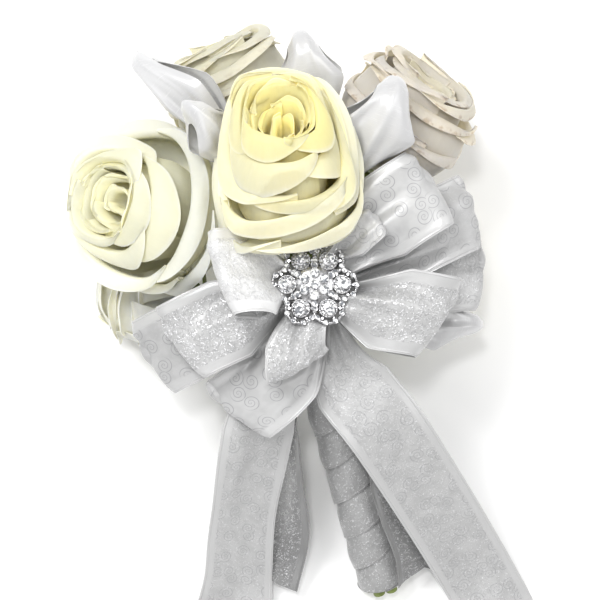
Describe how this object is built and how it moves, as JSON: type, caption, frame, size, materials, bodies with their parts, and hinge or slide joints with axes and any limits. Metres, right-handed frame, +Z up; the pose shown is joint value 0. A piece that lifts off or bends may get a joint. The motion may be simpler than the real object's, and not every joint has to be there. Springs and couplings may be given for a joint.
{
  "type": "bridal bouquet",
  "caption": "Hand-tied bridal bouquet of cream roses with a patterned ribbon bow, satin loops, a jewelled brooch, long ribbon tails and a ribbon-wound handle, lying on its back.",
  "frame": {"origin": "middle of the footprint, on the surface that the bouquet lies on", "axes": "+Z up, out of the front with the bow and brooch; +Y from the cut stem ends towards the head of blooms; +X to the right as the front is seen"},
  "size_m": [0.2547, 0.3385, 0.172],
  "materials": {
    "cream_petal": "soft translucent petal",
    "stem_green": "matt green stem",
    "white_satin": "white satin ribbon",
    "silver_white_ribbon": "sheer silver-white ribbon with a glitter pattern",
    "silver_metal": "polished silver-coloured metal",
    "crystal": "clear faceted rhinestone"
  },
  "bodies": {
    "root": {"binding_tape": "stem_green", "bow_centre": "white_satin", "bow_loop_left_back": "silver_white_ribbon", "bow_loop_left_front": "silver_white_ribbon", "bow_loop_left_middle": "silver_white_ribbon", "bow_loop_low_front": "silver_white_ribbon", "bow_loop_low_left": "silver_white_ribbon", "bow_loop_right_back": "silver_white_ribbon", "bow_loop_right_front": "silver_white_ribbon", "bow_loop_right_inner": "silver_white_ribbon", "bow_loop_right_low": "silver_white_ribbon", "bow_loop_right_top": "silver_white_ribbon", "bow_wire": "silver_metal", "brooch_setting": "silver_metal", "handle_ribbon_wrap": "white_satin", "ribbon_tail_left": "silver_white_ribbon", "ribbon_tail_left_back": "silver_white_ribbon", "ribbon_tail_right": "silver_white_ribbon", "ribbon_tail_right_back": "silver_white_ribbon", "rose_back": "cream_petal", "rose_front": "cream_petal", "rose_left": "cream_petal", "rose_lower_left": "cream_petal", "rose_right": "cream_petal", "rose_upper_left": "cream_petal", "rose_upper_right": "cream_petal", "satin_loop_between": "white_satin", "satin_loop_far_right": "white_satin", "satin_loop_right": "white_satin", "satin_loop_top": "white_satin", "satin_loop_upper_left": "white_satin", "stem_rose_back": "stem_green", "stem_rose_front": "stem_green", "stem_rose_left": "stem_green", "stem_rose_lower_left": "stem_green", "stem_rose_right": "stem_green", "stem_rose_upper_left": "stem_green", "stem_rose_upper_right": "stem_green", "stone_01": "crystal", "stone_02": "crystal", "stone_03": "crystal", "stone_04": "crystal", "stone_05": "crystal", "stone_06": "crystal", "stone_07": "crystal", "stone_08": "crystal", "stone_09": "crystal", "stone_10": "crystal", "stone_11": "crystal", "stone_12": "crystal", "stone_13": "crystal"}
  },
  "joints": []
}
